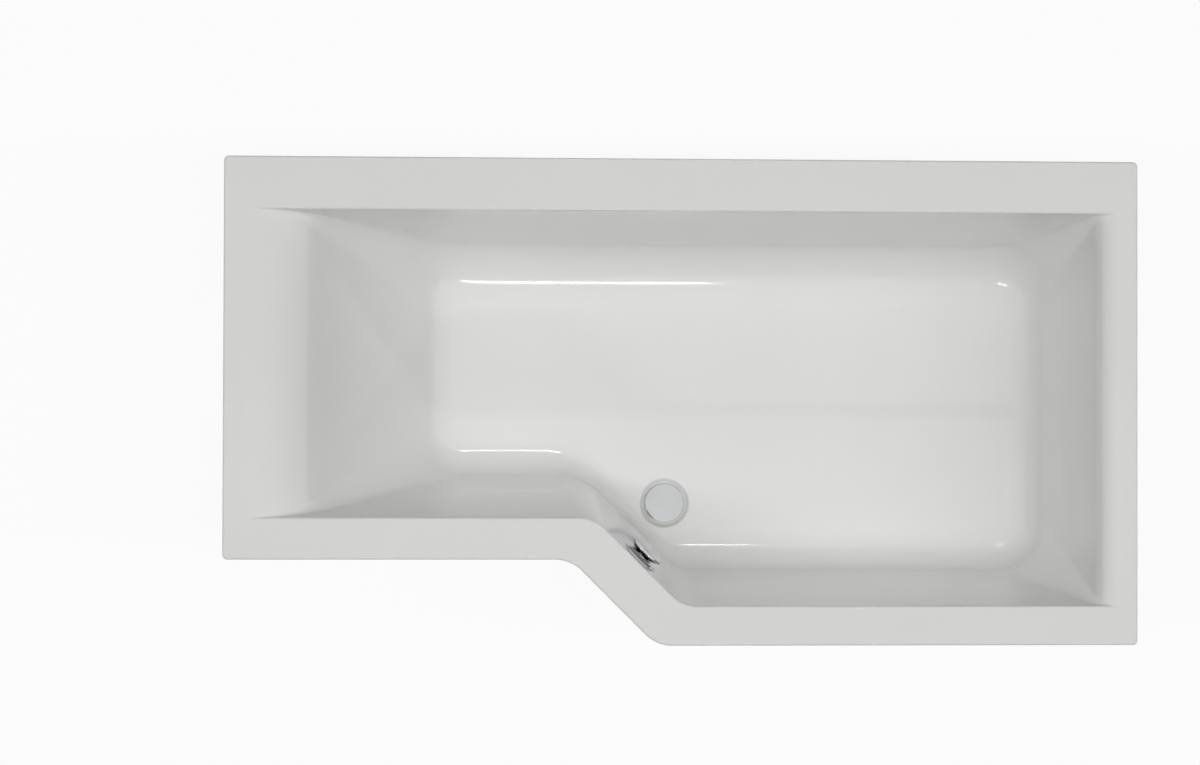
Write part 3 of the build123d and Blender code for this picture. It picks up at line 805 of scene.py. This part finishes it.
rosette_seat = 0.004
rosette_screw_places = [
    overflow_place @ Matrix.Translation((across, 0, rosette_seat)) @ Matrix.Rotation(pi, 4, "X")
    for across in [-0.017, 0.017]
]
rosette_screw = pan_screw(head_radius=0.0040, head_height=0.0024, shank_radius=0.0018, length=0.004)
rosette_screws = repeated("overflow_rosette_screws", rosette_screw, rosette_screw_places, "bath")
rosette_screws.data.materials.append(stainless)

# Overflow pipe and control cable: a ribbed pipe carries the overflow to the waste, pushed into a
# nut at each end, and a sheathed cable takes the knob's turn down to the lever under the plug.
ribbed_pipe = uneven("grey_ribbed_pipe", (0.36, 0.37, 0.38), (0.44, 0.45, 0.455), (0.36, 0.50), skin=600.0)
black_sheath = uneven("black_sheath", (0.014, 0.014, 0.015), (0.024, 0.024, 0.025), (0.34, 0.48))
dress(ribbed_pipe, "overflow_hose")
dress(black_sheath, "control_cable")

# Camera at the photograph's place, straight above the bath and a little towards the sloped end.
camera_data = bpy.data.cameras.new("camera")
camera_data.sensor_width = 36
camera_data.lens = 68.97
camera = bpy.data.objects.new("camera", camera_data)
camera.location = (-0.3169, -0.0188, 4.550)
camera.rotation_euler = Euler((radians(0.741), radians(-2.433), radians(0.156)), "XYZ")
bpy.context.scene.collection.objects.link(camera)
bpy.context.scene.camera = camera

# Studio: a plain white floor and background, one long soft lamp overhead for the shading, and a
# small strip beyond each long side that draws the fine lines of light in the coves. The two short
# strips draw the dots at the shower end.
ambient = 0.03
floor_glow = 0.93
strip_reach = 3.0
strip_height = 3.5
strip_depth = 0.12

world = bpy.data.worlds.new("studio")
world.use_nodes = True
bpy.context.scene.world = world
tree = world.node_tree
paths = add_node(tree, "ShaderNodeLightPath")
seen = paths.outputs["Is Camera Ray"]
for ray in ["Is Glossy Ray", "Is Transmission Ray"]:
    seen = add_node(tree, "ShaderNodeMath", {0: seen, 1: paths.outputs[ray]}, operation="MAXIMUM").outputs[0]
backdrop = tree.nodes["Background"]
backdrop.inputs["Color"].default_value = (1, 1, 1, 1)
tree.links.new(between(tree, seen, ambient, 1.0, 0.0, 1.0), backdrop.inputs["Strength"])


def add_lamp(name, place, width, depth, watts, glossy=True):
    """Flat lamp turned to face the middle of the bath's floor."""
    lamp = bpy.data.lights.new(name, "AREA")
    lamp.shape = "RECTANGLE"
    lamp.size = width
    lamp.size_y = depth
    lamp.energy = watts
    holder = bpy.data.objects.new(name, lamp)
    holder.location = place
    facing = -Vector((0, place[1], place[2] - floor_z))
    holder.rotation_euler = facing.to_track_quat("-Z", "Y").to_euler()
    holder.visible_glossy = glossy
    holder.visible_camera = False
    bpy.context.scene.collection.objects.link(holder)


bpy.context.scene.view_settings.view_transform = "Standard"
add_lamp("overhead_lamp", (0, -0.30, 5.2), width=12.0, depth=0.5, watts=252, glossy=False)
strips = [
    ("front_strip", 0.000, -strip_reach, 0.977, 9),
    ("wall_strip", 0.095, strip_reach, 1.167, 10),
    ("short_strip", 1.726, -strip_reach, 0.07, 0.7),
    ("short_strip", 1.726, strip_reach, 0.07, 0.7),
]
for name, x, y, width, watts in strips:
    add_lamp(name, (x, y, strip_height), width, strip_depth, watts)

floor_mesh = bmesh.new()
bmesh.ops.create_grid(floor_mesh, x_segments=1, y_segments=1, size=12)
floor_data = bpy.data.meshes.new("floor")
floor_mesh.to_mesh(floor_data)
floor_mesh.free()
studio_floor = bpy.data.objects.new("studio_floor", floor_data)
bpy.context.scene.collection.objects.link(studio_floor)
floor_paint, tree, shader = new_material("floor_paint", Roughness=0.9)
shader.inputs["Base Color"].default_value = (0.85, 0.85, 0.85, 1)
white = add_node(tree, "ShaderNodeEmission", {"Color": (1, 1, 1, 1), "Strength": 1.0})
paths = add_node(tree, "ShaderNodeLightPath")
links = {0: paths.outputs["Is Camera Ray"], 1: floor_glow}
share = add_node(tree, "ShaderNodeMath", links, operation="MULTIPLY")
links = {0: share.outputs[0], 1: shader.outputs[0], 2: white.outputs[0]}
mixed = add_node(tree, "ShaderNodeMixShader", links)
tree.links.new(mixed.outputs[0], tree.nodes["Material Output"].inputs["Surface"])
floor_data.materials.append(floor_paint)
